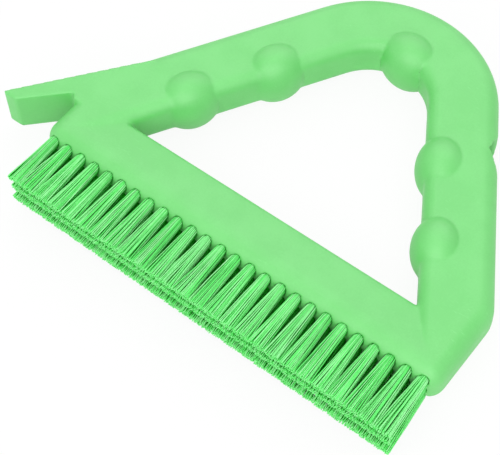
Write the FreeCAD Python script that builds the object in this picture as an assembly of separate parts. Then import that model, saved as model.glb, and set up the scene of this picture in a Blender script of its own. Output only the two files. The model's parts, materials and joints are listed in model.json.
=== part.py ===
"""Tile and grout brush: a one-piece moulded triangular handle with three rows of stapled bristle tufts.

The brush lies on its side. Sizes are in millimetres. Shapes are drawn with X along the tuft face from
its middle, Y from the tuft face towards the apex of the handle, and Z square to the handle's faces from
its middle plane. They are then moved so that the origin is the middle of the box, on the surface below.
"""
import FreeCAD, Part
import math
import os

# Block and arms
BLOCK_LENGTH = 230.0
THICKNESS = 23.0
ARM_WIDTH = 34.5
ARM_LEAN_DEG = 31.7
SHOULDER_HEIGHT = 47.4
SHOULDER_RADIUS = 16.0
APEX_RADIUS = 63.0
FOOT_FLAT_WIDTH = 1.9
EDGE_RADIUS = 8.5
INNER_EDGE_RADIUS = 6.5
CORNER_ALLOWANCE = 0.3

# Bar across the foot of the triangle, thinner towards its inner edge
BAR_HEIGHT = 30.6
BAR_INNER_THICKNESS = 16.0
BAR_EDGE_RADIUS = 2.5

# Ball grips along the inner edge, flattened across the arm
BALL_DIAMETER = 32.0
BALL_WIDTH = 24.6
BALL_SIDE_RADIUS = 18.5
BALL_INSET = 7.8
APEX_BALL_INSET = 5.8
LOWER_BALL_STATION = 35.3
UPPER_BALL_STATION = 81.3

# Scraper at the left shoulder
SCRAPER_REACH = 31.0
SCRAPER_TIP_HEIGHT = 6.5
SCRAPER_TIP_THICKNESS = 8.5
SCRAPER_ROOT_HEIGHT = 28.8
SCRAPER_ROOT_RADIUS = 2.0
SCRAPER_RUNOUT_STATION = 25.0
SCRAPER_RUNOUT_INSET = 4.2

# Socket for a screw-in pole, in the outer side of the right arm
SOCKET_DIAMETER = 19.2
SOCKET_DEPTH = 26.0
SOCKET_STATION = 89.2
SOCKET_CHAMFER = 1.8

# Bristle tufts and the flat-wire anchors that hold them
TUFT_COUNT = 26
TUFT_END_MARGIN = 7.5
ROW_EDGE_MARGIN = 5.5
HOLE_DIAMETER = 5.2
HOLE_DEPTH = 13.0
HOLE_OVERCUT = 1.0
TUFT_CLEARANCE = 0.1
TRIM_LENGTH = 28.2
TIP_CLEARANCE = 0.3
TIP_ROW_SPREAD = 2.2
ANCHOR_HEIGHT = 1.8
ANCHOR_THICKNESS = 0.5
ANCHOR_CLEARANCE = 0.05
FOLD_THICKNESS = 1.2

# Sizes that follow from the driving ones
HALF_LENGTH = BLOCK_LENGTH / 2
HALF_THICKNESS = THICKNESS / 2
BALL_RADIUS = BALL_DIAMETER / 2
TUFT_PITCH = (BLOCK_LENGTH - 2 * TUFT_END_MARGIN) / (TUFT_COUNT - 1)
ROW_GAP = HALF_THICKNESS - ROW_EDGE_MARGIN
TIP_ROW_GAP = ROW_GAP + TIP_ROW_SPREAD
TUFT_RADIUS = HOLE_DIAMETER / 2 - TUFT_CLEARANCE
TUFT_FOOT = HOLE_DEPTH - TUFT_CLEARANCE
ANCHOR_LEVEL = TUFT_FOOT - FOLD_THICKNESS - ANCHOR_HEIGHT / 2

Vector = FreeCAD.Vector
LEAN = math.radians(ARM_LEAN_DEG)
OUTWARD = Vector(math.cos(LEAN), math.sin(LEAN), 0)
ALONG = Vector(-math.sin(LEAN), math.cos(LEAN), 0)
UP = Vector(0, 0, 1)
SHOULDER = Vector(HALF_LENGTH, SHOULDER_HEIGHT, 0)
APEX_CENTRE = Vector(0, (OUTWARD.dot(SHOULDER) - APEX_RADIUS) / OUTWARD.y, 0)
INNER_APEX_RADIUS = APEX_RADIUS - ARM_WIDTH

# The bar's faces start to lean where the flat of each arm has narrowed to its foot
FOOT_WIDTH = FOOT_FLAT_WIDTH + EDGE_RADIUS + INNER_EDGE_RADIUS / math.cos(LEAN)
FOOT_HEIGHT = SHOULDER_HEIGHT - (ARM_WIDTH / math.cos(LEAN) - FOOT_WIDTH) / math.tan(LEAN)
BAR_BREAK_HEIGHT = max(FOOT_HEIGHT, EDGE_RADIUS + CORNER_ALLOWANCE)

# Move from the drawing's origin to the middle of the box, on the surface below
MIDDLE_X = -SCRAPER_REACH / 2
MIDDLE_Y = (APEX_CENTRE.y + APEX_RADIUS - TRIM_LENGTH) / 2
REST_DROP = max(BALL_RADIUS, HALF_THICKNESS)
TO_ROW_FRAME = Vector(-MIDDLE_X, -MIDDLE_Y, REST_DROP)


def arm_point(station, inset=0.0):
    """Point on the right arm: distance along it from the shoulder, and depth from its outer side."""
    return SHOULDER + ALONG * station - OUTWARD * inset


def left(point):
    """The point's mirror image in the middle plane of the brush."""
    return Vector(-point.x, point.y, point.z)


def line(start, end):
    """Straight edge between two points."""
    return Part.makeLine(start, end)


def arc(start, middle, end):
    """Arc edge through three points."""
    return Part.Arc(start, middle, end).toShape()


def slab(edges):
    """Full-thickness plate with the outline that the edges make in the middle plane."""
    plate = Part.Face(Part.Wire(edges)).extrude(UP * THICKNESS)
    plate.translate(UP * -HALF_THICKNESS)
    return plate


def rim(plate, cut_height):
    """Edges between the plate's flat faces and its sides, except along the hidden cut at cut_height."""

    def on_rim(edge):
        middle = edge.CenterOfMass
        on_face = abs(abs(middle.z) - HALF_THICKNESS) < 1e-6
        return on_face and abs(middle.y - cut_height) > 1e-6

    return [edge for edge in plate.Edges if on_rim(edge)]


def is_inner(edge):
    """Whether an edge of the arms runs along their inner side."""
    insets = [OUTWARD.dot(SHOULDER - Vector(abs(v.X), v.Y, 0)) for v in edge.Vertexes]
    return min(insets) > ARM_WIDTH / 2


def arms():
    """Both arms, their shoulders and the rounded apex, cut off level inside the bar."""
    cut = BAR_BREAK_HEIGHT
    tangent = SHOULDER_RADIUS * math.tan(LEAN / 2)
    bend_start = SHOULDER - Vector(0, tangent, 0)
    bend_centre = bend_start - Vector(SHOULDER_RADIUS, 0, 0)
    bend_middle = bend_centre + Vector(math.cos(LEAN / 2), math.sin(LEAN / 2), 0) * SHOULDER_RADIUS
    bend_end = arm_point(tangent)
    outer_end = APEX_CENTRE + OUTWARD * APEX_RADIUS
    outer_top = APEX_CENTRE + Vector(0, APEX_RADIUS, 0)
    inner_end = APEX_CENTRE + OUTWARD * INNER_APEX_RADIUS
    inner_top = APEX_CENTRE + Vector(0, INNER_APEX_RADIUS, 0)
    foot = Vector(HALF_LENGTH, cut, 0)
    inner_foot = arm_point((cut - arm_point(0, ARM_WIDTH).y) / ALONG.y, ARM_WIDTH)
    outline = [
        line(foot, bend_start),
        arc(bend_start, bend_middle, bend_end),
        line(bend_end, outer_end),
        arc(outer_end, outer_top, left(outer_end)),
        line(left(outer_end), left(bend_end)),
        arc(left(bend_end), left(bend_middle), left(bend_start)),
        line(left(bend_start), left(foot)),
        line(left(foot), left(inner_foot)),
        line(left(inner_foot), left(inner_end)),
        arc(left(inner_end), inner_top, inner_end),
        line(inner_end, inner_foot),
        line(inner_foot, foot),
    ]
    plate = slab(outline)
    plate = plate.makeFillet(EDGE_RADIUS, [edge for edge in rim(plate, cut) if not is_inner(edge)])
    return plate.makeFillet(INNER_EDGE_RADIUS, [edge for edge in rim(plate, cut) if is_inner(edge)])


def rail():
    """Lower part of the bar, whose rounded edges run along the tuft face and round its ends."""
    low = Vector(HALF_LENGTH, 0, 0)
    high = Vector(HALF_LENGTH, BAR_BREAK_HEIGHT, 0)
    plate = slab([line(high, low), line(low, left(low)), line(left(low), left(high)), line(left(high), high)])
    corners = [
        edge
        for edge in plate.Edges
        if abs(edge.CenterOfMass.z) < 1e-6 and abs(edge.CenterOfMass.y) < 1e-6
    ]
    return plate.makeFillet(EDGE_RADIUS, rim(plate, BAR_BREAK_HEIGHT) + corners)


def bar():
    """Upper part of the bar between the arms, with faces that lean in towards the hand opening."""
    half_inner = BAR_INNER_THICKNESS / 2
    end = HALF_LENGTH - EDGE_RADIUS
    corners = [
        Vector(-end, EDGE_RADIUS, half_inner),
        Vector(-end, BAR_BREAK_HEIGHT, HALF_THICKNESS),
        Vector(-end, BAR_HEIGHT, half_inner),
        Vector(-end, BAR_HEIGHT, -half_inner),
        Vector(-end, BAR_BREAK_HEIGHT, -HALF_THICKNESS),
        Vector(-end, EDGE_RADIUS, -half_inner),
    ]
    section = Part.Face(Part.makePolygon(corners + corners[:1]))
    beam = section.extrude(Vector(2 * end, 0, 0))
    inner_edges = [
        edge
        for edge in beam.Edges
        if abs(edge.CenterOfMass.y - BAR_HEIGHT) < 1e-6 and abs(edge.CenterOfMass.x) < 1e-6
    ]
    return beam.makeFillet(BAR_EDGE_RADIUS, inner_edges)


def ball(centre, across):
    """Round grip, flattened across the arm: a ball that a larger ball trims on each side."""
    pole = UP.cross(across)
    grip = Part.makeSphere(BALL_RADIUS, centre, pole)
    for side in (-1, 1):
        trim_centre = centre + across * (side * (BALL_SIDE_RADIUS - BALL_WIDTH / 2))
        grip = grip.common(Part.makeSphere(BALL_SIDE_RADIUS, trim_centre, pole))
    return grip


def balls():
    """Five ball grips: two on each arm and one at the apex, sunk in the inner edge."""
    depth = ARM_WIDTH - BALL_INSET
    lower = arm_point(LOWER_BALL_STATION, depth)
    upper = arm_point(UPPER_BALL_STATION, depth)
    apex = APEX_CENTRE + Vector(0, INNER_APEX_RADIUS + APEX_BALL_INSET, 0)
    grips = [ball(apex, Vector(0, 1, 0))]
    for centre in (lower, upper):
        grips.append(ball(centre, OUTWARD))
        grips.append(ball(left(centre), left(OUTWARD)))
    return grips


def scraper():
    """Wedge-shaped scraping tab that runs out of the left arm past the end of the block."""
    tip_back = Vector(-HALF_LENGTH - SCRAPER_REACH, SCRAPER_TIP_HEIGHT, 0)
    tip_front = tip_back + Vector(SCRAPER_TIP_THICKNESS, 0, 0)
    root = Vector(-HALF_LENGTH, SCRAPER_ROOT_HEIGHT, 0)
    down_front = (tip_front - root).normalize()
    down_block = Vector(0, -1, 0)
    half_angle = down_front.getAngle(down_block) / 2
    bisector = (down_front + down_block).normalize()
    setback = SCRAPER_ROOT_RADIUS / math.tan(half_angle)
    fillet_centre = root + bisector * (SCRAPER_ROOT_RADIUS / math.sin(half_angle))
    fillet_start = root + down_front * setback
    fillet_middle = fillet_centre - bisector * SCRAPER_ROOT_RADIUS
    fillet_end = root + down_block * setback
    inside = fillet_end + Vector(EDGE_RADIUS, 0, 0)
    runout = left(arm_point(SCRAPER_RUNOUT_STATION, SCRAPER_RUNOUT_INSET))
    outline = [
        line(tip_back, tip_front),
        line(tip_front, fillet_start),
        arc(fillet_start, fillet_middle, fillet_end),
        line(fillet_end, inside),
        line(inside, runout),
        line(runout, tip_back),
    ]
    return slab(outline)


def socket():
    """Room for the pole: a blind bore with a chamfered mouth, square to the right arm."""
    mouth = arm_point(SOCKET_STATION)
    radius = SOCKET_DIAMETER / 2
    bore = Part.makeCylinder(radius, SOCKET_DEPTH, mouth, OUTWARD * -1)
    lead_in = Part.makeCone(radius + SOCKET_CHAMFER, radius, SOCKET_CHAMFER, mouth, OUTWARD * -1)
    return bore.fuse(lead_in)


def tuft_places(row):
    """Middles of one row's tuft holes in the tuft face. The row is -1, 0 or 1 from back to front."""
    first = -TUFT_PITCH * (TUFT_COUNT - 1) / 2
    return [Vector(first + TUFT_PITCH * number, 0, ROW_GAP * row) for number in range(TUFT_COUNT)]


def hexagon(centre, half_width, half_depth):
    """Corners of a six-sided section across Y, with two sides along X and every corner at 120 degrees."""
    flat = half_width - half_depth * math.tan(math.pi / 6)
    return [
        centre + Vector(half_width, 0, 0),
        centre + Vector(flat, 0, half_depth),
        centre + Vector(-flat, 0, half_depth),
        centre + Vector(-half_width, 0, 0),
        centre + Vector(-flat, 0, -half_depth),
        centre + Vector(flat, 0, -half_depth),
    ]


def regular_hexagon(centre, radius):
    """Corners of a regular six-sided section across Y."""
    return hexagon(centre, radius, radius * math.cos(math.pi / 6))


def prism(sections):
    """Solid with flat sides between sections whose sides are parallel, and with flat ends."""
    outlines = [sections[0], sections[-1]]
    for near, far in zip(sections, sections[1:]):
        for corner in range(len(near)):
            outlines.append([near[corner - 1], near[corner], far[corner], far[corner - 1]])
    faces = [Part.Face(Part.makePolygon(outline + outline[:1])) for outline in outlines]
    return Part.Solid(Part.Shell(faces))


def tuft_hole(place):
    """Six-sided hole for one tuft, cut from just outside the tuft face."""
    radius = HOLE_DIAMETER / 2
    mouth = place - Vector(0, HOLE_OVERCUT, 0)
    bottom = place + Vector(0, HOLE_DEPTH, 0)
    return prism([regular_hexagon(mouth, radius), regular_hexagon(bottom, radius)])


def handle():
    """The whole moulding: arms, bar, grips and scraper in one, with its socket and tuft holes."""
    body = arms().multiFuse([rail(), bar(), scraper()] + balls())
    holes = [tuft_hole(place) for row in (-1, 0, 1) for place in tuft_places(row)]
    return body.cut([socket()] + holes).removeSplitter()


def tuft(place, row):
    """One tuft: a root that fills its hole, folded round the anchor, and bristles that fan out."""
    foot = place + Vector(0, TUFT_FOOT, 0)
    tip = place + Vector(0, -TRIM_LENGTH, TIP_ROW_SPREAD * row)
    bristles = prism([
        regular_hexagon(foot, TUFT_RADIUS),
        regular_hexagon(place, TUFT_RADIUS),
        hexagon(tip, (TUFT_PITCH - TIP_CLEARANCE) / 2, (TIP_ROW_GAP - TIP_CLEARANCE) / 2),
    ])
    return bristles.cut(anchor(place, ANCHOR_CLEARANCE))


def anchor(place, extra=0.0):
    """Flat-wire anchor across a hole near its bottom, or with extra room round it the slot it needs."""
    width = HOLE_DIAMETER - 2 * ANCHOR_CLEARANCE + 2 * extra
    height = ANCHOR_HEIGHT + 2 * extra
    depth = ANCHOR_THICKNESS + 2 * extra
    corner = place + Vector(-width / 2, ANCHOR_LEVEL - height / 2, -depth / 2)
    return Part.makeBox(width, height, depth, corner)


def export(name, shape):
    """Write one node, moved to the row's frame."""
    moved = shape.copy()
    moved.translate(TO_ROW_FRAME)
    moved.exportStep("parts/" + name + ".step")


def main():
    """Build and write every node."""
    os.makedirs("parts", exist_ok=True)
    export("handle_frame", handle())
    for row_name, row in (("front", 1), ("back", -1)):
        for number, place in enumerate(tuft_places(row), start=1):
            export(f"tuft_{row_name}_{number:02d}", tuft(place, row))
    export("tufts_middle_row", Part.makeCompound([tuft(place, 0) for place in tuft_places(0)]))
    for row_name, row in (("front", 1), ("middle", 0), ("back", -1)):
        anchors = [anchor(place) for place in tuft_places(row)]
        export(f"anchors_{row_name}_row", Part.makeCompound(anchors))


main()
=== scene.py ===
"""Looks of a triangular grout brush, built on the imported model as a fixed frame.

Lengths are in metres, in the frame's own axes: X along the bristle block, Y from the bristle tips to
the apex of the handle, and Z up from the surface that the brush lies on.
"""
import json
import logging
import math
from dataclasses import dataclass, field
from enum import Enum
from typing import Any

import bmesh
import bpy
import numpy as np
from mathutils import Matrix, Quaternion, Vector


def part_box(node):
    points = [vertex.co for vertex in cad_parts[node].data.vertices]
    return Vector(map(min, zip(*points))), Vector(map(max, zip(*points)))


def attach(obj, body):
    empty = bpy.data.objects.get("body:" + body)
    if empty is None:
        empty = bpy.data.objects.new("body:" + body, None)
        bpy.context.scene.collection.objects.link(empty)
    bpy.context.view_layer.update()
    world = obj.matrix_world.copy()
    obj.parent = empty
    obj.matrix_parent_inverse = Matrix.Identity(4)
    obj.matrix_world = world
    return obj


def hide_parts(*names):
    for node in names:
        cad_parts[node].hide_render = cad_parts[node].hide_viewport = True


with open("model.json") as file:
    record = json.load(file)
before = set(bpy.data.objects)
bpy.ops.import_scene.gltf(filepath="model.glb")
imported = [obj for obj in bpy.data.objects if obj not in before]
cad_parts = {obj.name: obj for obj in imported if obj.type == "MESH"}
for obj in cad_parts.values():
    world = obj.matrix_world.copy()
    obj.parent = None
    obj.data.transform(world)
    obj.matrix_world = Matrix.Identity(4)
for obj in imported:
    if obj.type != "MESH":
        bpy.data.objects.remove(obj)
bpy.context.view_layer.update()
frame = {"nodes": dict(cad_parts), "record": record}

log = logging.getLogger("grout_brush")

MM = 0.001
BODY = "root"
IMAGE_WIDTH_PX = 500
SENSOR_WIDTH_MM = 36.0
NEAR_CLIP = 0.01
TUBE_SHARP_DEG = 40.0

Colour = tuple[float, float, float]


class Slot(Enum):
    """The record's material slots."""

    MOULDING = "moulding"
    BRISTLES = "bristles"
    ANCHOR_WIRE = "anchor_wire"


class TuftRow(Enum):
    """The three rows of tufts, by name."""

    FRONT = "front"
    MIDDLE = "middle"
    BACK = "back"


class Wiring:
    """A node tree, with short calls that add nodes and join them."""

    def __init__(self, tree: bpy.types.NodeTree) -> None:
        """Start on an emptied tree."""
        self.tree = tree
        tree.nodes.clear()

    def add(self, kind: str, **inputs: Any) -> bpy.types.Node:
        """Add a node and fill its inputs.

        Args:
            kind: Blender's name for the node type.
            **inputs: a value, or an output socket to join, for each input. An underscore stands for a
                space.

        Returns:
            The new node.
        """
        node = self.tree.nodes.new(kind)
        for name, value in inputs.items():
            self.feed(node, name.replace("_", " "), value)
        return node

    def feed(self, node: bpy.types.Node, name: str, value: Any) -> None:
        """Give one named input a plain value or join an output to it."""
        socket = next(s for s in node.inputs if s.name == name and s.enabled)
        if isinstance(value, bpy.types.NodeSocket):
            self.tree.links.new(value, socket)
        else:
            socket.default_value = value

    def maths(self, operation: str, *values: Any, clamp: bool = False) -> bpy.types.NodeSocket:
        """Add a Math node.

        Args:
            operation: Blender's name for the sum.
            *values: numbers or outputs, in order.
            clamp: keep the result between 0 and 1.

        Returns:
            The node's output.
        """
        node = self.tree.nodes.new("ShaderNodeMath")
        node.operation = operation
        node.use_clamp = clamp
        for socket, value in zip(node.inputs, values):
            if isinstance(value, bpy.types.NodeSocket):
                self.tree.links.new(value, socket)
            else:
                socket.default_value = value
        return node.outputs[0]

    def blend(self, factor: Any, low: Any, high: Any) -> bpy.types.NodeSocket:
        """Mix two colours by a factor, and return the mixed colour."""
        node = self.tree.nodes.new("ShaderNodeMix")
        node.data_type = "RGBA"
        for socket, value in ((node.inputs[0], factor), (node.inputs[6], low), (node.inputs[7], high)):
            if isinstance(value, bpy.types.NodeSocket):
                self.tree.links.new(value, socket)
            else:
                socket.default_value = value if isinstance(value, float) else opaque(value)
        return node.outputs[2]

    def noise(self, place: bpy.types.NodeSocket, scale: Any, detail: float = 2.0) -> bpy.types.NodeSocket:
        """Add a noise texture at a place, and return its value."""
        node = self.add("ShaderNodeTexNoise", Vector=place, Scale=scale, Detail=detail)
        return node.outputs["Fac"]

    def spread(self, value: Any, low: Any, high: Any) -> bpy.types.NodeSocket:
        """Map a value from 0 to 1 onto a range, and return it."""
        node = self.add("ShaderNodeMapRange", Value=value, To_Min=low, To_Max=high)
        return node.outputs["Result"]

    def ramp(self, value: Any, start: float, end: float) -> bpy.types.NodeSocket:
        """Return a mask that rises smoothly from 0 at start to 1 at end."""
        node = self.tree.nodes.new("ShaderNodeMapRange")
        node.interpolation_type = "SMOOTHSTEP"
        for name, entry in (("Value", value), ("From Min", start), ("From Max", end)):
            self.feed(node, name, entry)
        return node.outputs["Result"]


def opaque(colour: Colour) -> tuple[float, float, float, float]:
    """The colour with full alpha."""
    return (*colour, 1.0)


class NodeGroup:
    """A shader node group with named inputs and outputs, built once."""

    def __init__(self, name: str, inputs: dict[str, Any], outputs: tuple[str, ...]) -> None:
        """Make the empty group.

        Args:
            name: the group's name.
            inputs: the starting value of each input. A colour is a tuple and a number is a float.
            outputs: names of the outputs. One that ends in Colour is a colour.
        """
        self.tree = bpy.data.node_groups.new(name, "ShaderNodeTree")
        self.wiring = Wiring(self.tree)
        for entry, value in inputs.items():
            kind = "NodeSocketColor" if isinstance(value, tuple) else "NodeSocketFloat"
            socket = self.tree.interface.new_socket(entry, in_out="INPUT", socket_type=kind)
            socket.default_value = opaque(value) if isinstance(value, tuple) else value
        for entry in outputs:
            kind = "NodeSocketColor" if entry.endswith("Colour") else "NodeSocketFloat"
            self.tree.interface.new_socket(entry, in_out="OUTPUT", socket_type=kind)
        self.given = self.tree.nodes.new("NodeGroupInput").outputs
        self.result = self.tree.nodes.new("NodeGroupOutput")

    def place_in(self, wiring: Wiring, **inputs: Any) -> bpy.types.Node:
        """Place the group in a material.

        Args:
            wiring: the material's tree.
            **inputs: values or outputs for the group's inputs. An underscore stands for a space.

        Returns:
            The group's node.
        """
        node = wiring.tree.nodes.new("ShaderNodeGroup")
        node.node_tree = self.tree
        for name, value in inputs.items():
            entry = opaque(value) if isinstance(value, tuple) else value
            wiring.feed(node, name.replace("_", " "), entry)
        return node


class ResinGroups:
    """The effects that the pigmented plastics share."""

    CLOUD_SHARE = 0.7
    SPECK_SHARE = 0.3
    MASK_START = 0.35
    MASK_FULL = 0.65
    GRAIN_SHARE = 0.35

    def __init__(self) -> None:
        """Build both groups."""
        self.pigment = self._pigment()
        self.grain = self._grain()

    def _pigment(self) -> NodeGroup:
        """Uneven pigment: broad clouds and fine specks round one colour."""
        group = NodeGroup(
            "uneven_pigment",
            {"Colour": (0.5, 0.5, 0.5), "Deep Colour": (0.3, 0.3, 0.3), "Cloud Scale": 40.0,
             "Speck Scale": 900.0, "Amount": 0.2},
            ("Colour", "Mask"),
        )
        w = group.wiring
        place = w.add("ShaderNodeTexCoord").outputs["Object"]
        clouds = w.noise(place, group.given["Cloud Scale"], detail=4.0)
        specks = w.noise(place, group.given["Speck Scale"], detail=1.0)
        broad = w.maths("MULTIPLY", clouds, self.CLOUD_SHARE)
        fine = w.maths("MULTIPLY", specks, self.SPECK_SHARE)
        mask = w.ramp(w.maths("ADD", broad, fine), self.MASK_START, self.MASK_FULL)
        amount = w.maths("MULTIPLY", mask, group.given["Amount"])
        w.feed(group.result, "Colour", w.blend(amount, group.given["Colour"], group.given["Deep Colour"]))
        w.feed(group.result, "Mask", mask)
        return group

    def _grain(self) -> NodeGroup:
        """Fine moulded grain: a height for bump, and a roughness that varies with it."""
        group = NodeGroup(
            "moulded_grain",
            {"Grain Scale": 1500.0, "Wave Scale": 120.0, "Roughness": 0.4, "Range": 0.08},
            ("Roughness", "Height"),
        )
        w = group.wiring
        place = w.add("ShaderNodeTexCoord").outputs["Object"]
        grain = w.noise(place, group.given["Grain Scale"], detail=3.0)
        waves = w.noise(place, group.given["Wave Scale"], detail=2.0)
        swing = w.maths("MULTIPLY", w.maths("SUBTRACT", waves, 0.5), group.given["Range"])
        w.feed(group.result, "Roughness", w.maths("ADD", group.given["Roughness"], swing))
        w.feed(group.result, "Height", w.maths("ADD", w.maths("MULTIPLY", grain, self.GRAIN_SHARE), waves))
        return group


@dataclass(frozen=True)
class MouldedFinish:
    """Satin finish of the one-piece handle: pigmented polypropylene, straight from the mould, with painted
    shade in its creases and a painted highlight on its convex edges, besides real hairline scuffs.
    """

    colour: Colour = (0.138, 0.622, 0.145)
    deep_colour: Colour = (0.098, 0.550, 0.104)
    # Paler colour for the real hairline scuffs, and for a painted highlight on convex edges.
    scuff_and_edge_highlight_colour: Colour = (0.225, 0.700, 0.240)
    # Painted shade: the dark colour that creases are painted where ambient occlusion finds surfaces close
    # by.
    crease_shade_colour: Colour = (0.015, 0.270, 0.020)
    crease_reach: float = 1.5 * MM
    crease_dark: float = 0.45
    crease_open: float = 0.92
    cloud_scale: float = 60.0
    speck_scale: float = 1100.0
    pigment_amount: float = 0.50
    edge_start: float = 0.51
    edge_full: float = 0.60
    edge_highlight_scale: float = 220.0
    least_edge_highlight: float = 0.1
    most_edge_highlight: float = 0.5
    scuff_wear: float = 0.45
    scuff_roughness: float = 0.12
    roughness: float = 0.50
    gloss: float = 0.7
    refraction: float = 1.7
    grain_depth: float = 0.02 * MM
    grain_strength: float = 0.35
    seam_half_width: float = 0.12 * MM
    seam_depth: float = 0.08 * MM
    seam_strength: float = 0.6
    scatter: float = 0.12
    scatter_reach: float = 2.5 * MM

    def material(self, groups: ResinGroups, seam_height: float) -> bpy.types.Material:
        """Make the material.

        Args:
            groups: the shared plastic effects.
            seam_height: Z of the mould's parting line.

        Returns:
            The finished material.
        """
        made = bpy.data.materials.new("moulded_polypropylene")
        made.use_nodes = True
        w = Wiring(made.node_tree)
        place = w.add("ShaderNodeTexCoord").outputs["Object"]
        pigment = groups.pigment.place_in(
            w, Colour=self.colour, Deep_Colour=self.deep_colour, Cloud_Scale=self.cloud_scale,
            Speck_Scale=self.speck_scale, Amount=self.pigment_amount,
        )
        grain = groups.grain.place_in(
            w, Grain_Scale=1700.0, Wave_Scale=110.0, Roughness=self.roughness, Range=0.12
        )
        # Painted highlight: convex edges, found by pointiness, are painted paler in noisy patches. The
        # hairline scuffs are real wear.
        sharpness = w.add("ShaderNodeNewGeometry").outputs["Pointiness"]
        edge = w.ramp(sharpness, self.edge_start, self.edge_full)
        edge_highlight_patches = w.spread(w.noise(place, self.edge_highlight_scale), self.least_edge_highlight, self.most_edge_highlight)
        edge_highlight = w.maths("MULTIPLY", edge, edge_highlight_patches, clamp=True)
        scuffs = self._scuffs(w, place)
        scuffs_and_edge_highlight = w.maths("MAXIMUM", edge_highlight, w.maths("MULTIPLY", scuffs, self.scuff_wear))
        highlit_and_scuffed_colour = w.blend(scuffs_and_edge_highlight, pigment.outputs["Colour"], self.scuff_and_edge_highlight_colour)
        # Painted shade: the colour is darkened where ambient occlusion finds surfaces close by, in the
        # creases round the grips and round the tuft roots.
        openness = w.add("ShaderNodeAmbientOcclusion", Distance=self.crease_reach).outputs["AO"]
        open_share = w.ramp(openness, self.crease_dark, self.crease_open)
        colour = w.blend(open_share, self.crease_shade_colour, highlit_and_scuffed_colour)
        scuffed = w.maths("MULTIPLY", scuffs, self.scuff_roughness)
        roughness = w.maths("ADD", grain.outputs["Roughness"], scuffed)
        bump = w.add(
            "ShaderNodeBump", Strength=self.grain_strength, Distance=self.grain_depth,
            Height=grain.outputs["Height"],
        )
        seam = w.add(
            "ShaderNodeBump", Strength=self.seam_strength, Distance=self.seam_depth,
            Height=self._seam(w, place, seam_height), Normal=bump.outputs["Normal"],
        )
        shader = w.add(
            "ShaderNodeBsdfPrincipled", Base_Color=colour, Roughness=roughness,
            Normal=seam.outputs["Normal"], Subsurface_Weight=self.scatter,
            Subsurface_Scale=self.scatter_reach, Subsurface_Radius=(0.5, 1.0, 0.5),
            IOR=self.refraction, Specular_IOR_Level=self.gloss,
        )
        w.add("ShaderNodeOutputMaterial", Surface=shader.outputs["BSDF"])
        return made

    def _seam(self, w: Wiring, place: bpy.types.NodeSocket, seam_height: float) -> bpy.types.NodeSocket:
        """Return a mask of the fine raised line where the mould's halves met."""
        height = w.add("ShaderNodeSeparateXYZ", Vector=place).outputs["Z"]
        off = w.maths("ABSOLUTE", w.maths("SUBTRACT", height, seam_height))
        return w.maths("SUBTRACT", 1.0, w.ramp(off, 0.0, self.seam_half_width))

    @staticmethod
    def _scuffs(w: Wiring, place: bpy.types.NodeSocket) -> bpy.types.NodeSocket:
        """Return a mask of sparse hairline scuffs."""
        stretch = w.add(
            "ShaderNodeMapping", Vector=place, Scale=(260.0, 1900.0, 500.0), Rotation=(0.0, 0.0, 0.6)
        )
        lines = w.noise(stretch.outputs["Vector"], 1.0, detail=1.0)
        patches = w.noise(place, 55.0, detail=2.0)
        return w.maths("MULTIPLY", w.ramp(lines, 0.66, 0.74), w.ramp(patches, 0.52, 0.68))


@dataclass(frozen=True)
class FilamentFinish:
    """Extruded polyester filament, with a tone of its own for each strand, and painted shade where
    filaments crowd together.
    """

    colour: Colour = (0.160, 0.910, 0.200)
    deep_colour: Colour = (0.085, 0.710, 0.112)
    pale_colour: Colour = (0.390, 0.990, 0.425)
    # Painted shade: the dark colour that filaments are painted where ambient occlusion finds neighbours
    # close by.
    shaded_colour: Colour = (0.000, 0.420, 0.000)
    shade_reach: float = 12.0 * MM
    shade_dark: float = 0.12
    shade_open: float = 0.50
    tip_start: float = 0.9
    tip_deepening: float = 0.1
    pigment_amount: float = 0.25
    roughness: float = 0.34
    gloss: float = 0.25
    gloss_tint: Colour = (0.35, 1.00, 0.40)
    refraction: float = 1.5
    grain_depth: float = 0.01 * MM
    grain_strength: float = 0.2

    def material(self, groups: ResinGroups) -> bpy.types.Material:
        """Make the material.

        Args:
            groups: the shared plastic effects.

        Returns:
            The finished material.
        """
        made = bpy.data.materials.new("polyester_filament")
        made.use_nodes = True
        w = Wiring(made.node_tree)
        tone = w.tree.nodes.new("ShaderNodeAttribute")
        tone.attribute_name = Tuft.TONE
        along = w.tree.nodes.new("ShaderNodeAttribute")
        along.attribute_name = Tuft.ALONG
        base = w.blend(w.ramp(tone.outputs["Fac"], 0.0, 1.0), self.colour, self.pale_colour)
        tip = w.maths("MULTIPLY", w.ramp(along.outputs["Fac"], self.tip_start, 1.0), self.tip_deepening)
        tipped = w.blend(tip, base, self.deep_colour)
        pigment = groups.pigment.place_in(
            w, Colour=tipped, Deep_Colour=self.deep_colour, Cloud_Scale=300.0, Speck_Scale=2600.0,
            Amount=self.pigment_amount,
        )
        grain = groups.grain.place_in(
            w, Grain_Scale=5000.0, Wave_Scale=700.0, Roughness=self.roughness, Range=0.15
        )
        # Painted shade: the colour is darkened where ambient occlusion finds filaments close by, in the
        # gaps between tufts and between rows.
        openness = w.add("ShaderNodeAmbientOcclusion", Distance=self.shade_reach).outputs["AO"]
        open_share = w.ramp(openness, self.shade_dark, self.shade_open)
        colour = w.blend(open_share, self.shaded_colour, pigment.outputs["Colour"])
        bump = w.add(
            "ShaderNodeBump", Strength=self.grain_strength, Distance=self.grain_depth,
            Height=grain.outputs["Height"],
        )
        shader = w.add(
            "ShaderNodeBsdfPrincipled", Base_Color=colour, Roughness=grain.outputs["Roughness"],
            Normal=bump.outputs["Normal"], IOR=self.refraction, Specular_IOR_Level=self.gloss,
            Specular_Tint=opaque(self.gloss_tint),
        )
        w.add("ShaderNodeOutputMaterial", Surface=shader.outputs["BSDF"])
        return made


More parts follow.
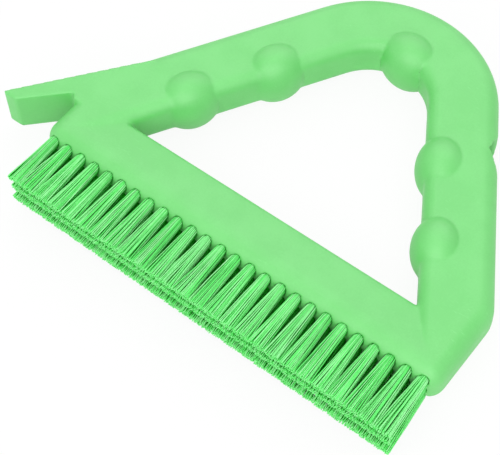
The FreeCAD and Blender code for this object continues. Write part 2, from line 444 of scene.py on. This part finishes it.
@dataclass(frozen=True)
class FlatWireFinish:
    """Drawn galvanised flat wire: bright metal with fine lines along it."""

    colour: Colour = (0.62, 0.62, 0.60)
    dull_colour: Colour = (0.40, 0.41, 0.41)
    roughness: float = 0.32
    line_depth: float = 0.01 * MM
    line_strength: float = 0.3

    def material(self, groups: ResinGroups) -> bpy.types.Material:
        """Make the material.

        Args:
            groups: the shared effects.

        Returns:
            The finished material.
        """
        made = bpy.data.materials.new("drawn_flat_wire")
        made.use_nodes = True
        w = Wiring(made.node_tree)
        place = w.add("ShaderNodeTexCoord").outputs["Object"]
        along = w.add("ShaderNodeMapping", Vector=place, Scale=(300.0, 9000.0, 9000.0))
        lines = w.noise(along.outputs["Vector"], 1.0, detail=3.0)
        tint = w.blend(w.ramp(lines, 0.4, 0.7), self.colour, self.dull_colour)
        pigment = groups.pigment.place_in(
            w, Colour=tint, Deep_Colour=self.dull_colour, Cloud_Scale=600.0, Speck_Scale=4000.0, Amount=0.3
        )
        grain = groups.grain.place_in(
            w, Grain_Scale=6000.0, Wave_Scale=900.0, Roughness=self.roughness, Range=0.2
        )
        bump = w.add(
            "ShaderNodeBump", Strength=self.line_strength, Distance=self.line_depth, Height=lines
        )
        shader = w.add(
            "ShaderNodeBsdfPrincipled", Base_Color=pigment.outputs["Colour"], Metallic=1.0,
            Roughness=grain.outputs["Roughness"], Normal=bump.outputs["Normal"],
        )
        w.add("ShaderNodeOutputMaterial", Surface=shader.outputs["BSDF"])
        return made


def mesh_points(mesh: bpy.types.Mesh) -> np.ndarray:
    """Corner points of a mesh, one row each."""
    points = np.empty(len(mesh.vertices) * 3)
    mesh.vertices.foreach_get("co", points)
    return points.reshape(-1, 3)


def add_piece(
    name: str, mesh: bpy.types.Mesh, material: bpy.types.Material
) -> bpy.types.Object:
    """Put a finished mesh in the scene as a piece of the brush.

    Args:
        name: the piece's name.
        mesh: its mesh, in the frame's place.
        material: the material that it shows.

    Returns:
        The piece, riding on the brush's one body.
    """
    mesh.materials.clear()
    mesh.materials.append(material)
    piece = bpy.data.objects.new(name, mesh)
    bpy.context.scene.collection.objects.link(piece)
    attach(piece, BODY)
    log.info("%s: %d faces", name, len(mesh.polygons))
    return piece


@dataclass
class Moulding:
    """The one-piece handle, with the small roundings that a mould leaves on every edge and corner."""

    finish: MouldedFinish
    node: str = "handle_frame"
    cell: float = 0.88 * MM
    softening_steps: int = 3
    softening: float = 0.5
    thickness: float = 23.0 * MM
    lean_deg: float = 31.7
    grip_along: float = 16.0 * MM
    grip_across: float = 12.6 * MM
    grip_height: float = 16.6 * MM
    grip_top_band: float = 0.3 * MM
    grip_facets: int = 5
    crease_start: float = 0.03 * MM
    crease_full: float = 0.09 * MM
    crease_depth: float = 0.50 * MM
    crease_zone: float = 1.15

    def build(self) -> bpy.types.Mesh:
        """Recast the solid as an even skin, with its edges softened and its grips evenly round.

        Returns:
            The new mesh.
        """
        solid = frame["nodes"][self.node].data.copy()
        middles = self._grip_middles(self._skin(solid))
        self._round_grips(solid, middles)
        mesh = self._skin(solid)
        mesh.name = "handle_moulding"
        self._level_grips(mesh)
        self._sharpen_creases(mesh, middles)
        mesh.shade_smooth()
        return mesh

    def _skin(self, solid: bpy.types.Mesh) -> bpy.types.Mesh:
        """Return an even, softened skin of a solid."""
        source = bpy.data.objects.new("handle_source", solid)
        bpy.context.scene.collection.objects.link(source)
        skin = source.modifiers.new("skin", "REMESH")
        skin.mode = "VOXEL"
        skin.voxel_size = self.cell
        soften = source.modifiers.new("soften", "SMOOTH")
        soften.factor = self.softening
        soften.iterations = self.softening_steps
        graph = bpy.context.evaluated_depsgraph_get()
        mesh = bpy.data.meshes.new_from_object(source.evaluated_get(graph))
        bpy.data.objects.remove(source)
        return mesh

    def _grip_middles(self, skin: bpy.types.Mesh) -> list[Vector]:
        """Find the middle of each ball grip from the tops of the skin."""
        points = mesh_points(skin)
        tops = points[points[:, 2] > points[:, 2].max() - self.grip_top_band]
        level = (points[:, 2].max() + points[:, 2].min()) / 2
        middles = []
        while len(tops):
            near = np.linalg.norm(tops[:, :2] - tops[0, :2], axis=1) < self.grip_along
            x, y = tops[near].mean(axis=0)[:2]
            middles.append(Vector((x, y, level)))
            tops = tops[~near]
        return middles

    def _round_grips(self, solid: bpy.types.Mesh, middles: list[Vector]) -> None:
        """Add an evenly rounded ball over each grip of the solid.

        Args:
            solid: the handle's mesh.
            middles: the grips' middles.
        """
        shells = bmesh.new()
        shells.from_mesh(solid)
        sizes = Matrix.Diagonal((self.grip_across, self.grip_along, self.grip_height, 1.0))
        for middle in middles:
            side = 0.0 if abs(middle.x) < self.grip_along else math.copysign(1.0, middle.x)
            across = math.radians(90.0 - side * (90.0 - self.lean_deg))
            turn = Matrix.Rotation(across, 4, "Z")
            place = Matrix.Translation(middle) @ turn @ sizes
            bmesh.ops.create_icosphere(shells, subdivisions=self.grip_facets, radius=1.0, matrix=place)
        shells.to_mesh(solid)
        shells.free()

    def _level_grips(self, mesh: bpy.types.Mesh) -> None:
        """Bring the grips' tops back to the height of the solid's."""
        low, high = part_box(self.node)
        level = (low.z + high.z) / 2
        face = self.thickness / 2
        points = mesh_points(mesh)
        off = points[:, 2] - level
        proud = np.maximum(np.abs(off) - face, 0.0)
        share = ((high.z - low.z) / 2 - face) / (self.grip_height - face)
        points[:, 2] -= np.sign(off) * proud * (1.0 - share)
        mesh.vertices.foreach_set("co", points.reshape(-1))
        mesh.update()

    def _sharpen_creases(self, mesh: bpy.types.Mesh, middles: list[Vector]) -> None:
        """Sink the skin along the rims of the grips, so that they stay fine clear lines.

        Args:
            mesh: the handle's skin.
            middles: the grips' middles.
        """
        points = mesh_points(mesh)
        count = len(points)
        normals = np.empty(count * 3)
        mesh.vertex_normals.foreach_get("vector", normals)
        normals = normals.reshape(-1, 3)
        ends = np.empty(len(mesh.edges) * 2, dtype=np.int64)
        mesh.edges.foreach_get("vertices", ends)
        ends = ends.reshape(-1, 2)
        around = np.zeros((count, 3))
        near = np.zeros(count)
        for here, there in ((0, 1), (1, 0)):
            np.add.at(around, ends[:, here], points[ends[:, there]])
            np.add.at(near, ends[:, here], 1.0)
        hollow = np.einsum("ij,ij->i", around / near[:, None] - points, normals)
        share = np.clip((hollow - self.crease_start) / (self.crease_full - self.crease_start), 0.0, 1.0)
        off = np.min([np.linalg.norm(points - np.array(middle), axis=1) for middle in middles], axis=0)
        share[off > self.grip_height * self.crease_zone] = 0.0
        points -= normals * (share * self.crease_depth)[:, None]
        mesh.vertices.foreach_set("co", points.reshape(-1))
        mesh.update()

    def dress(self, groups: ResinGroups) -> bpy.types.Material:
        """Add the handle to the scene in place of its solid.

        Args:
            groups: the shared plastic effects.

        Returns:
            The material, which the socket's thread shares.
        """
        low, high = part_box(self.node)
        material = self.finish.material(groups, (low.z + high.z) / 2)
        piece = add_piece("handle_moulding", self.build(), material)
        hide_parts(self.node)
        return material


@dataclass
class PoleThread:
    """The ridge of the screw thread inside the pole socket."""

    mount: str = "pole_socket"
    pitch: float = 25.4 * MM / 5
    height: float = 1.5 * MM
    root_width: float = 2.6 * MM
    crest_width: float = 1.2 * MM
    sunk: float = 0.3 * MM
    lead_in: float = 3.5 * MM
    steps_per_turn: int = 40
    ease_turns: float = 0.25
    least_height: float = 0.05

    def build(self) -> bpy.types.Mesh:
        """Wind the ridge's section round the socket's axis.

        Returns:
            The closed mesh of the ridge.
        """
        entry = next(m for m in frame["record"]["mounts"] if m["name"] == self.mount)
        out = Vector(entry["axis"]).normalized()
        across = Vector((0.0, 0.0, 1.0))
        aside = out.cross(across)
        wall = entry["dims"]["r_mm"] * MM
        run = entry["dims"]["length_mm"] * MM - 2 * self.lead_in
        mouth = Vector(entry["pos_m"])
        steps = round(run / self.pitch * self.steps_per_turn)
        rings = []
        for step in range(steps + 1):
            turn = 2 * math.pi * step / self.steps_per_turn
            from_end = min(step, steps - step)
            ease = min(1.0, from_end / (self.steps_per_turn * self.ease_turns))
            axis_point = mouth - out * (self.lead_in + self.pitch * step / self.steps_per_turn)
            radial = across * math.cos(turn) + aside * math.sin(turn)
            crest = wall - self.height * max(ease, self.least_height)
            half_crest, half_root = self.crest_width / 2, self.root_width / 2
            section = ((wall + self.sunk, half_root), (crest, half_crest), (crest, -half_crest),
                       (wall + self.sunk, -half_root))
            rings.append([axis_point + radial * r + out * along for r, along in section])
        return tube_mesh("pole_thread", rings)

    def dress(self, material: bpy.types.Material) -> None:
        """Add the thread to the scene in the handle's material."""
        add_piece("pole_thread", self.build(), material)


def tube_mesh(name: str, rings: list[list[Vector]]) -> bpy.types.Mesh:
    """Skin a row of rings with equal numbers of points, and close both ends.

    Args:
        name: the mesh's name.
        rings: the rings' points, in order.

    Returns:
        The closed mesh.
    """
    sides = len(rings[0])
    points = [point for ring in rings for point in ring]
    faces = [list(range(sides))[::-1], [len(points) - sides + side for side in range(sides)]]
    for ring in range(len(rings) - 1):
        for side in range(sides):
            near, far = ring * sides, (ring + 1) * sides
            beside = (side + 1) % sides
            faces.append([near + side, near + beside, far + beside, far + side])
    mesh = bpy.data.meshes.new(name)
    mesh.from_pydata(points, [], faces)
    mesh.shade_smooth()
    mesh.set_sharp_from_angle(angle=math.radians(TUBE_SHARP_DEG))
    return mesh


@dataclass
class TuftPlace:
    """Where one tuft stands, read from the frame."""

    root: Vector
    root_radius: float
    foot: float
    tip: Vector
    tip_half_x: float
    tip_half_z: float


@dataclass
class Tuft:
    """One tuft of straight stiff filaments that fan out from a round hole."""

    TONE = "strand_tone"
    ALONG = "strand_along"

    place: TuftPlace
    seed: int
    trim_shift: float = 0.0
    lean: float = 1.0 * MM
    filaments: int = 88
    diameter: float = 0.52 * MM
    sides: int = 6
    flare_start: float = 2.6 * MM
    flare_end: float = 1.2 * MM
    flare_x: float = 1.09
    flare_z: float = 1.06
    tip_width_share: float = 1.10
    tip_depth_share: float = 0.60
    clumps: int = 5
    clump_pull: float = 0.14
    wander: float = 0.22 * MM
    bow: float = 0.16 * MM
    uneven_trim: float = 0.28 * MM
    stray_share: float = 0.03
    stray_reach: float = 0.9 * MM
    tip_bevel: float = 0.16 * MM
    tip_taper: float = 0.62
    anchor_gap: float = 0.35 * MM
    foot_share: float = 0.92
    root_jitter: float = 0.03
    squareness: float = 0.7
    clump_spread: float = 0.8
    sharp_deg: float = 70.0

    def build(self, name: str) -> bpy.types.Mesh:
        """Make every filament as a closed tube.

        Args:
            name: the mesh's name.

        Returns:
            The tuft's mesh, with its tone and length attributes.
        """
        rng = np.random.default_rng(self.seed)
        root, full, tip, drop = self._ends(rng)
        flared = full * np.array([self.flare_x, self.flare_z])
        middle = (flared + tip) / 2 + rng.normal(0.0, self.bow, root.shape)
        foot = root * self.foot_share
        foot[:, 1] += np.sign(foot[:, 1]) * self.anchor_gap
        centre = np.array([self.place.root.x, self.place.root.z])
        knots = np.stack([foot, root, flared, middle, tip, tip], axis=1) + centre
        mouth = self.place.root.y
        end = self.place.tip.y + drop
        levels = np.stack(
            [np.full_like(end, self.place.foot), np.full_like(end, mouth + self.flare_start),
             np.full_like(end, mouth + self.flare_end), (mouth + self.flare_end + end) / 2,
             end + self.tip_bevel, end], axis=1,
        )
        return self._skin(name, knots, levels, rng)

    def _ends(self, rng: np.random.Generator) -> tuple[np.ndarray, np.ndarray, np.ndarray, np.ndarray]:
        """Choose where each filament starts and ends.

        Args:
            rng: the tuft's own random numbers.

        Returns:
            Offsets in X and Z from the root's middle: the root's own, the root's once it is pressed square
            by its neighbours, and the tip's. Then how far each tip stands back.
        """
        number = np.arange(self.filaments)
        angle = number * math.pi * (3 - math.sqrt(5)) + rng.uniform(0, 2 * math.pi)
        reach = np.sqrt((number + 0.5) / self.filaments)
        disc = np.stack([np.cos(angle), np.sin(angle)], axis=1) * reach[:, None]
        disc += rng.normal(0.0, self.root_jitter, disc.shape)
        root = disc * (self.place.root_radius - self.diameter / 2)
        longer = np.maximum(np.abs(np.cos(angle)), np.abs(np.sin(angle)))
        squared = disc / longer[:, None] ** self.squareness
        full = squared * (self.place.root_radius - self.diameter / 2)
        half_x = self.place.tip_half_x * self.tip_width_share
        half_z = self.place.tip_half_z * self.tip_depth_share
        half = np.array([half_x, half_z])
        tip = squared * half
        hearts = rng.uniform(-self.clump_spread, self.clump_spread, (self.clumps, 2)) * half
        nearest = np.argmin(np.linalg.norm(tip[:, None] - hearts[None], axis=2), axis=1)
        tip += (hearts[nearest] - tip) * self.clump_pull
        tip += rng.normal(0.0, self.wander, tip.shape)
        stray = rng.random(self.filaments) < self.stray_share
        tip[stray] += rng.normal(0.0, self.stray_reach, tip.shape)[stray]
        tip[:, 0] += self.lean
        tip[:, 1] += self.place.tip.z - self.place.root.z
        drop = np.abs(rng.normal(0.0, self.uneven_trim, self.filaments)) - self.trim_shift
        return root, full, tip, drop

    def _skin(
        self, name: str, knots: np.ndarray, levels: np.ndarray, rng: np.random.Generator
    ) -> bpy.types.Mesh:
        """Skin the filaments' centre lines.

        Args:
            name: the mesh's name.
            knots: X and Z of each filament's knots.
            levels: Y of each filament's knots.
            rng: the tuft's own random numbers.

        Returns:
            The mesh of all the filaments.
        """
        count, rings = levels.shape
        turn = 2 * math.pi * np.arange(self.sides) / self.sides
        phase = rng.uniform(0, 2 * math.pi, count)
        radius = np.full(rings, self.diameter / 2)
        radius[-1] *= self.tip_taper
        round_x = np.cos(turn[None, :] + phase[:, None])
        round_z = np.sin(turn[None, :] + phase[:, None])
        points = np.empty((count, rings, self.sides, 3))
        points[..., 0] = knots[:, :, None, 0] + radius[None, :, None] * round_x[:, None, :]
        points[..., 1] = levels[:, :, None]
        points[..., 2] = knots[:, :, None, 1] + radius[None, :, None] * round_z[:, None, :]
        per_filament = rings * self.sides
        faces = []
        for filament in range(count):
            base = filament * per_filament
            faces.append([base + side for side in range(self.sides)])
            faces.append([base + per_filament - 1 - side for side in range(self.sides)])
            for ring in range(rings - 1):
                near = base + ring * self.sides
                far = near + self.sides
                for side in range(self.sides):
                    beside = (side + 1) % self.sides
                    faces.append([near + side, far + side, far + beside, near + beside])
        mesh = bpy.data.meshes.new(name)
        mesh.from_pydata(points.reshape(-1, 3).tolist(), [], faces)
        mesh.shade_smooth()
        mesh.set_sharp_from_angle(angle=math.radians(self.sharp_deg))
        self._note(mesh, self.TONE, np.repeat(rng.random(count), per_filament))
        run = (levels - levels[:, 1:2]) / (levels[:, -1:] - levels[:, 1:2])
        self._note(mesh, self.ALONG, np.repeat(np.clip(run, 0.0, 1.0).reshape(-1), self.sides))
        return mesh

    @staticmethod
    def _note(mesh: bpy.types.Mesh, name: str, values: np.ndarray) -> None:
        """Store one number per point under a name that the finish reads."""
        attribute = mesh.attributes.new(name, "FLOAT", "POINT")
        attribute.data.foreach_set("value", values.astype(np.float32))


@dataclass
class BristleBlock:
    """The three rows of tufts, each in its place in the block."""

    finish: FilamentFinish
    first_seed: int = 1100
    left_trim_shift: float = -0.9 * MM
    right_trim_shift: float = 0.9 * MM
    front_reach: float = 1.4 * MM
    middle_reach: float = 0.8 * MM
    back_reach: float = 1.5 * MM
    middle_node: str = "tufts_middle_row"
    rows: dict[TuftRow, list[TuftPlace]] = field(default_factory=dict)

    def read_places(self) -> None:
        """Read each tuft's place from its solid. The middle row stands between the other two."""
        for row in (TuftRow.FRONT, TuftRow.BACK):
            self.rows[row] = [self._read(name) for name in self._nodes(row)]
        self.rows[TuftRow.MIDDLE] = [
            TuftPlace(
                root=(front.root + back.root) / 2, root_radius=front.root_radius, foot=front.foot,
                tip=(front.tip + back.tip) / 2, tip_half_x=front.tip_half_x, tip_half_z=front.tip_half_z,
            )
            for front, back in zip(self.rows[TuftRow.FRONT], self.rows[TuftRow.BACK])
        ]

    @staticmethod
    def _nodes(row: TuftRow) -> list[str]:
        """Names of one row's tuft nodes, in order along the block."""
        return sorted(name for name in frame["nodes"] if name.startswith(f"tuft_{row.value}_"))

    @staticmethod
    def _read(name: str) -> TuftPlace:
        """Read one tuft's place from its solid.

        Args:
            name: the tuft's node.

        Returns:
            Its root, tip and section sizes.
        """
        points = mesh_points(frame["nodes"][name].data)
        low, high = points.min(axis=0), points.max(axis=0)
        foot = points[points[:, 1] > high[1] - 0.1 * MM]
        tip = points[points[:, 1] < low[1] + 0.1 * MM]
        foot_middle = (foot.min(axis=0) + foot.max(axis=0)) / 2
        tip_middle = (tip.min(axis=0) + tip.max(axis=0)) / 2
        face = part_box("handle_frame")[0].y
        tip_half = np.ptp(tip, axis=0) / 2
        return TuftPlace(
            root=Vector((foot_middle[0], face, foot_middle[2])), root_radius=np.ptp(foot[:, 0]) / 2,
            foot=high[1], tip=Vector(tip_middle), tip_half_x=tip_half[0], tip_half_z=tip_half[2],
        )

    def dress(self, groups: ResinGroups) -> None:
        """Add every tuft to the scene in place of its solid.

        Args:
            groups: the shared plastic effects.
        """
        self.read_places()
        material = self.finish.material(groups)
        reaches = (self.front_reach, self.middle_reach, self.back_reach)
        for order, (row, reach) in enumerate(zip(TuftRow, reaches)):
            for number, place in enumerate(self.rows[row], start=1):
                name = f"bristles_{row.value}_{number:02d}"
                share = (number - 1) / (len(self.rows[row]) - 1)
                shift = self.left_trim_shift + (self.right_trim_shift - self.left_trim_shift) * share
                tuft = Tuft(place, seed=self.first_seed + 100 * order + number, trim_shift=shift + reach)
                piece = add_piece(name, tuft.build(name), material)
                node = self.middle_node if row is TuftRow.MIDDLE else f"tuft_{row.value}_{number:02d}"
                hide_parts(node)


@dataclass
class TuftAnchors:
    """The flat-wire anchors, whose solids are right as they are."""

    finish: FlatWireFinish
    nodes: tuple[str, ...] = tuple(f"anchors_{row.value}_row" for row in TuftRow)

    def dress(self, groups: ResinGroups) -> None:
        """Give the anchors' solids their metal.

        Args:
            groups: the shared effects.
        """
        material = self.finish.material(groups)
        for name in self.nodes:
            node = frame["nodes"][name]
            node.data.materials.clear()
            node.data.materials.append(material)
            log.info("%s: dressed", name)


@dataclass
class Studio:
    """Pale floor, soft light and the camera."""

    floor_size: float = 6.0
    floor_drop: float = 0.05 * MM
    floor_colour: Colour = (0.93, 0.93, 0.93)
    floor_white_share: float = 0.92
    zenith_strength: float = 0.25
    horizon_strength: float = 1.05
    lamp_width: float = 1.7
    lamp_height: float = 1.6
    back_power: float = 8.0
    back_place: Vector = field(default_factory=lambda: Vector((-0.30, 0.64, 1.04)))
    front_power: float = 12.6
    front_place: Vector = field(default_factory=lambda: Vector((0.36, -0.82, 0.93)))
    eye: Vector = field(default_factory=lambda: Vector((0.2581, -0.34345, 0.6120)))
    aim: Vector = field(default_factory=lambda: Vector((0.0117, -0.05235, 0.0160)))
    roll_deg: float = -2.94
    focal_px: float = 1504.4

    def build(self) -> None:
        """Make the floor, the light and the camera."""
        self._floor()
        self._sky()
        self._lamps()
        self._camera()
        bpy.context.scene.view_settings.view_transform = "Standard"

    def _floor(self) -> None:
        """Lay the floor just under the brush."""
        half = self.floor_size / 2
        drop = -self.floor_drop
        corners = [(-half, -half, drop), (half, -half, drop), (half, half, drop), (-half, half, drop)]
        mesh = bpy.data.meshes.new("floor")
        mesh.from_pydata(corners, [], [(0, 1, 2, 3)])
        floor = bpy.data.objects.new("floor", mesh)
        bpy.context.scene.collection.objects.link(floor)
        made = bpy.data.materials.new("pale_floor")
        made.use_nodes = True
        w = Wiring(made.node_tree)
        place = w.add("ShaderNodeTexCoord").outputs["Object"]
        paler = tuple(min(1.0, level * 1.02) for level in self.floor_colour)
        colour = w.blend(w.noise(place, 6.0), self.floor_colour, paler)
        paper = w.add("ShaderNodeBsdfPrincipled", Base_Color=colour, Roughness=0.9, Specular_IOR_Level=0.1)
        glow = w.add("ShaderNodeEmission", Strength=1.0)
        mix = w.tree.nodes.new("ShaderNodeMixShader")
        w.tree.links.new(w.spread(self._seen(w), 0.0, self.floor_white_share), mix.inputs[0])
        w.tree.links.new(paper.outputs["BSDF"], mix.inputs[1])
        w.tree.links.new(glow.outputs["Emission"], mix.inputs[2])
        w.add("ShaderNodeOutputMaterial", Surface=mix.outputs["Shader"])
        mesh.materials.append(made)

    @staticmethod
    def _seen(w: Wiring) -> bpy.types.NodeSocket:
        """Return 1 for rays that show the surroundings, and 0 for rays that only gather light."""
        rays = w.add("ShaderNodeLightPath").outputs
        mirrored = w.maths("MAXIMUM", rays["Is Glossy Ray"], rays["Is Transmission Ray"])
        return w.maths("MAXIMUM", rays["Is Camera Ray"], mirrored)

    def _sky(self) -> None:
        """Surround the scene with even white, which the camera and reflections see at full white."""
        world = bpy.data.worlds.new("studio")
        bpy.context.scene.world = world
        world.use_nodes = True
        w = Wiring(world.node_tree)
        way = w.add("ShaderNodeTexCoord").outputs["Generated"]
        height = w.maths("ABSOLUTE", w.add("ShaderNodeSeparateXYZ", Vector=way).outputs["Z"])
        light = w.spread(height, self.horizon_strength, self.zenith_strength)
        strength = w.spread(self._seen(w), light, 1.0)
        sky = w.add("ShaderNodeBackground", Color=opaque((1.0, 1.0, 1.0)), Strength=strength)
        w.add("ShaderNodeOutputWorld", Surface=sky.outputs["Background"])

    def _lamps(self) -> None:
        """Hang one large soft lamp above and behind the brush, and one above and before it."""
        for name, power, place in (
            ("back", self.back_power, self.back_place), ("front", self.front_power, self.front_place),
        ):
            lamp = bpy.data.lights.new(name, "AREA")
            lamp.shape = "RECTANGLE"
            lamp.size = self.lamp_width
            lamp.size_y = self.lamp_height
            lamp.energy = power
            holder = bpy.data.objects.new(name, lamp)
            holder.location = place
            holder.rotation_mode = "QUATERNION"
            holder.rotation_quaternion = (-place).to_track_quat("-Z", "Y")
            bpy.context.scene.collection.objects.link(holder)

    def _camera(self) -> None:
        """Stand the camera where the photograph was taken from."""
        lens = bpy.data.cameras.new("camera")
        lens.sensor_fit = "HORIZONTAL"
        lens.sensor_width = SENSOR_WIDTH_MM
        lens.lens = self.focal_px / IMAGE_WIDTH_PX * SENSOR_WIDTH_MM
        lens.clip_start = NEAR_CLIP
        holder = bpy.data.objects.new("camera", lens)
        holder.location = self.eye
        holder.rotation_mode = "QUATERNION"
        level = (self.aim - self.eye).to_track_quat("-Z", "Y")
        holder.rotation_quaternion = level @ Quaternion((0.0, 0.0, 1.0), math.radians(self.roll_deg))
        bpy.context.scene.collection.objects.link(holder)
        bpy.context.scene.camera = holder


def main() -> None:
    """Dress the brush, piece by piece, and set up the studio."""
    logging.basicConfig(level=logging.INFO)
    groups = ResinGroups()
    moulding = Moulding(MouldedFinish())
    plastic = moulding.dress(groups)
    PoleThread().dress(plastic)
    BristleBlock(FilamentFinish()).dress(groups)
    TuftAnchors(FlatWireFinish()).dress(groups)
    Studio().build()


if __name__ == "__main__":
    main()
